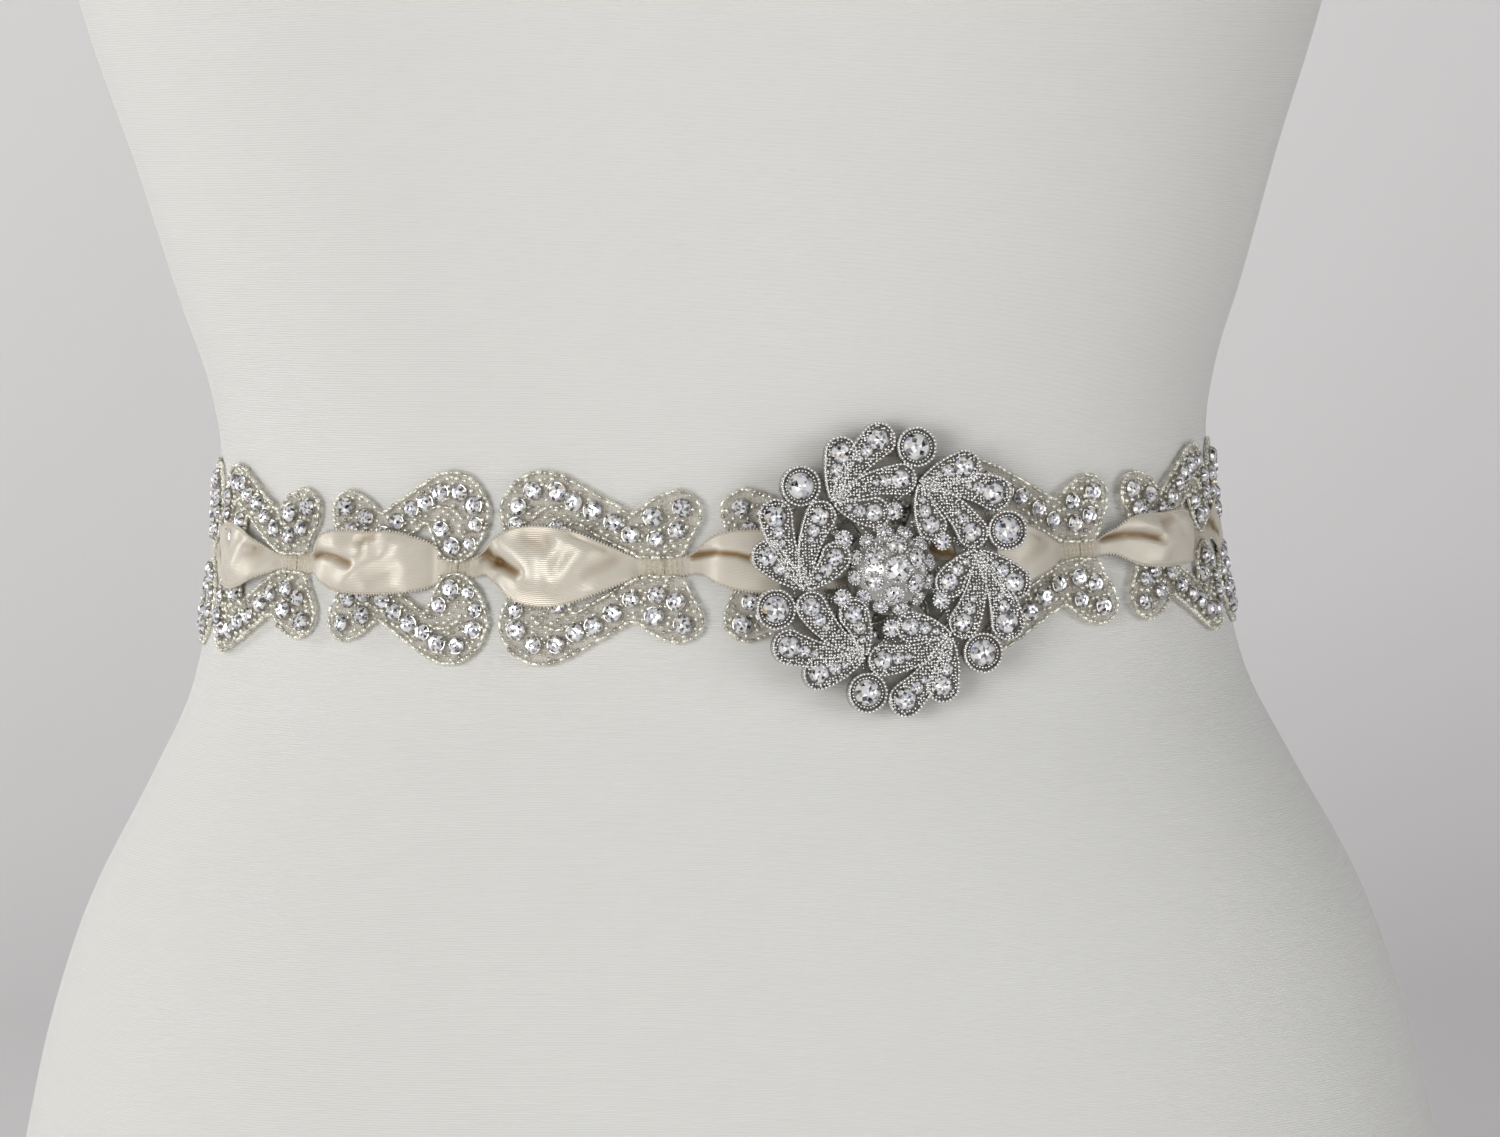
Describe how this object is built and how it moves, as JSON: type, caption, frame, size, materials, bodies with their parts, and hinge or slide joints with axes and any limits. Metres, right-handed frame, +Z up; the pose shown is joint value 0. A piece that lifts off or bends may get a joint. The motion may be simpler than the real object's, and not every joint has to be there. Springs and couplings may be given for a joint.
{
  "type": "bridal sash on a dress form",
  "caption": "Bridal sash of scalloped beaded trim with a satin ribbon woven through it and a round jewelled brooch, tied at the back of a limbless jersey-covered dress form.",
  "frame": {"origin": "middle of the dress form's flat base, where it stands", "axes": "+Z up along the form, -Y out of its front, +X to the right as seen from the front"},
  "size_m": [0.3434, 0.2699, 0.725],
  "materials": {
    "jersey": "white cotton jersey, fine rib, pulled tight over foam",
    "satin": "champagne double-face satin, soft gloss, woven selvedge",
    "beaded_net": "fine net sewn all over with silver-lined glass beads and set stones",
    "silver": "rhodium-plated casting with darkened recesses and beaded rims",
    "crystal": "clear foil-backed cut glass, polished"
  },
  "bodies": {
    "root": {"brooch_centre_stone": "crystal", "brooch_flower": "silver", "brooch_plate": "silver", "brooch_spray_1": "silver", "brooch_spray_2": "silver", "brooch_spray_3": "silver", "brooch_spray_4": "silver", "brooch_spray_5": "silver", "brooch_spray_6": "silver", "brooch_stone_1": "crystal", "brooch_stone_2": "crystal", "brooch_stone_3": "crystal", "brooch_stone_4": "crystal", "brooch_stone_5": "crystal", "brooch_stone_6": "crystal", "dress_form": "jersey", "ribbon_back_left": "satin", "ribbon_back_right": "satin", "ribbon_knot": "satin", "ribbon_tail_left": "satin", "ribbon_tail_right": "satin", "ribbon_window_1": "satin", "ribbon_window_2": "satin", "ribbon_window_3": "satin", "ribbon_window_4": "satin", "ribbon_window_5": "satin", "ribbon_window_6": "satin", "ribbon_window_7": "satin", "ribbon_window_8": "satin", "trim_motif_1": "beaded_net", "trim_motif_2": "beaded_net", "trim_motif_3": "beaded_net", "trim_motif_4": "beaded_net", "trim_motif_5": "beaded_net", "trim_motif_6": "beaded_net", "trim_motif_7": "beaded_net", "trim_motif_8": "beaded_net"}
  },
  "joints": []
}
